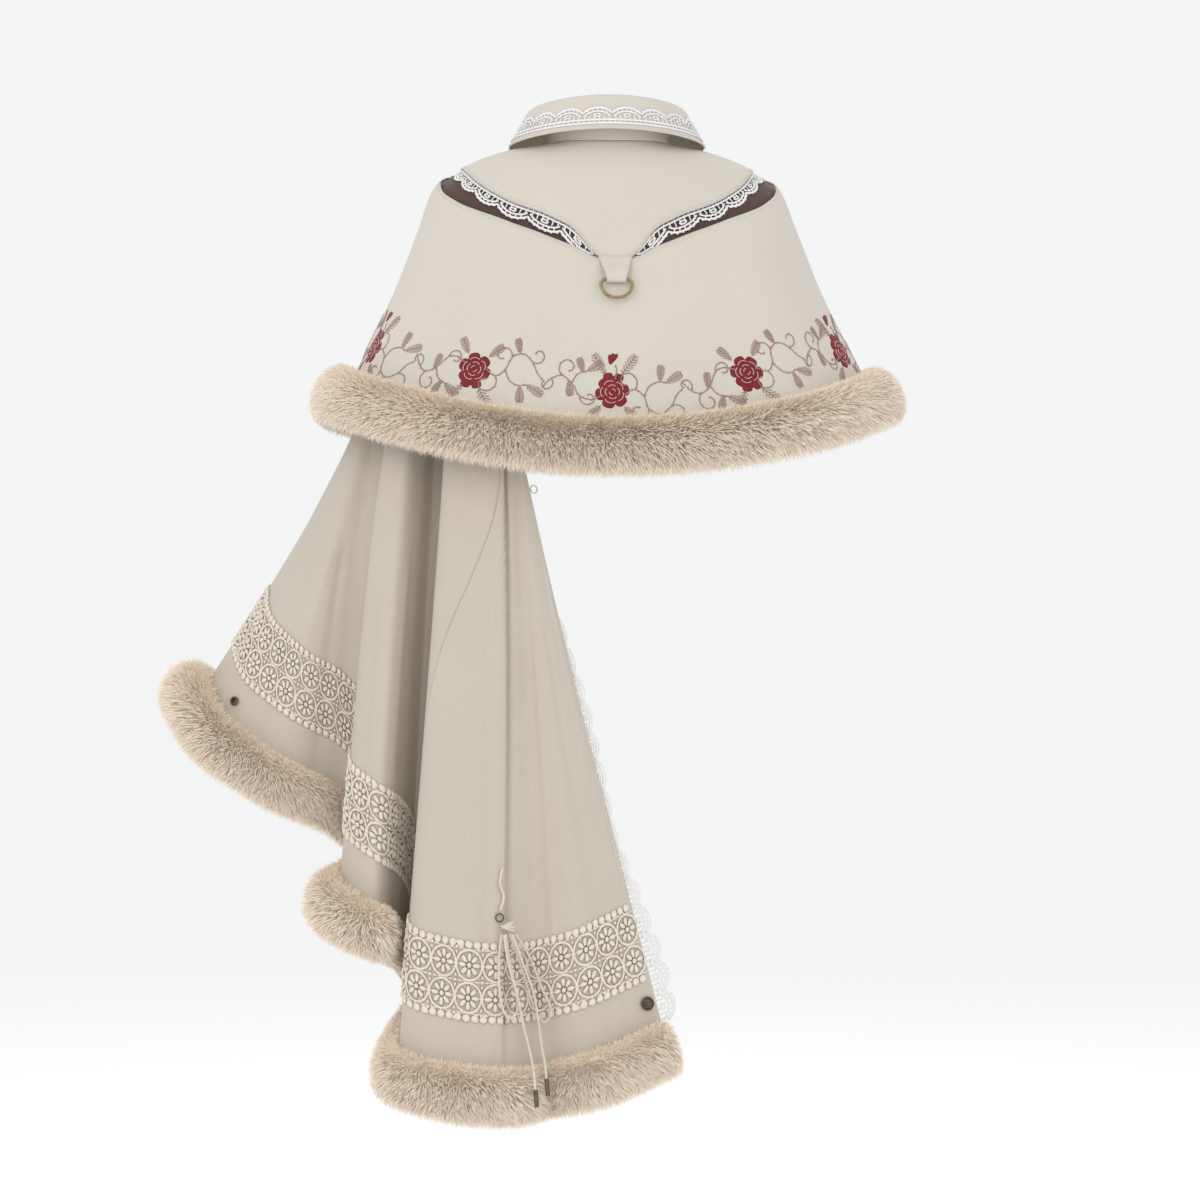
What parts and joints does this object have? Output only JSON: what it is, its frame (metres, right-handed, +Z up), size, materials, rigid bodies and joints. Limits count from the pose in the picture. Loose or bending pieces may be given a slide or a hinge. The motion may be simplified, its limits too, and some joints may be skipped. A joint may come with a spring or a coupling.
{
  "type": "cape",
  "caption": "Short bell cape with a turn-down collar, V yoke with lace-edged slits and fur hem, joined to a long draped half cape over the left arm with a guipure band and fur hem.",
  "frame": {"origin": "middle of the neck seam, where the neck and shoulders hold the cape", "axes": "+Z up along the wearer's spine, +Y the way the wearer faces, +X to the wearer's right"},
  "size_m": [0.8107, 0.4545, 1.0956],
  "materials": {
    "ivory_cloth": "matte ivory plain weave",
    "beige_cloth": "matte greyish beige plain weave",
    "brown_cloth": "matte dark brown",
    "white_lace": "white scalloped guipure lace",
    "guipure_lace": "beige guipure with raised medallions",
    "beige_fur": "beige faux fur with tan roots",
    "cream_cord": "cream cord",
    "antique_brass": "antique brass",
    "dark_metal": "dark pewter"
  },
  "bodies": {
    "cape": {"collar": "ivory_cloth", "collar_lace": "white_lace", "yoke_back": "ivory_cloth", "yoke_front_left": "ivory_cloth", "yoke_front_right": "ivory_cloth", "capelet_back": "ivory_cloth", "capelet_front_left": "ivory_cloth", "capelet_front_right": "ivory_cloth", "capelet_fur_back": "beige_fur", "capelet_fur_front_left": "beige_fur", "capelet_fur_front_right": "beige_fur", "inset_left": "brown_cloth", "inset_right": "brown_cloth", "inset_lace_left": "white_lace", "inset_lace_right": "white_lace", "ring_tab": "ivory_cloth", "half_cape_front": "beige_cloth", "half_cape_side": "beige_cloth", "half_cape_back": "beige_cloth", "half_band_front": "guipure_lace", "half_band_side": "guipure_lace", "half_band_back": "guipure_lace", "half_fur_front": "beige_fur", "half_fur_side": "beige_fur", "half_fur_back": "beige_fur", "edge_lace": "white_lace", "press_stud_cap": "dark_metal", "press_stud_socket": "dark_metal", "thread_loop": "cream_cord", "tie_stem": "cream_cord", "tie_loop_left": "cream_cord", "tie_loop_right": "cream_cord", "tie_end_left": "cream_cord", "tie_end_right": "cream_cord", "tie_knot": "cream_cord", "tie_eyelet": "dark_metal", "tie_tip_left": "dark_metal", "tie_tip_right": "dark_metal"},
    "ring": {"d_ring": "antique_brass"}
  },
  "joints": [
    {"name": "ring_swing", "type": "hinge", "parent": "cape", "child": "ring", "pos_m": [-0.00006, -0.14195, -0.1577], "axis": [-1, 0, 0], "range_deg": [0, 150]}
  ]
}
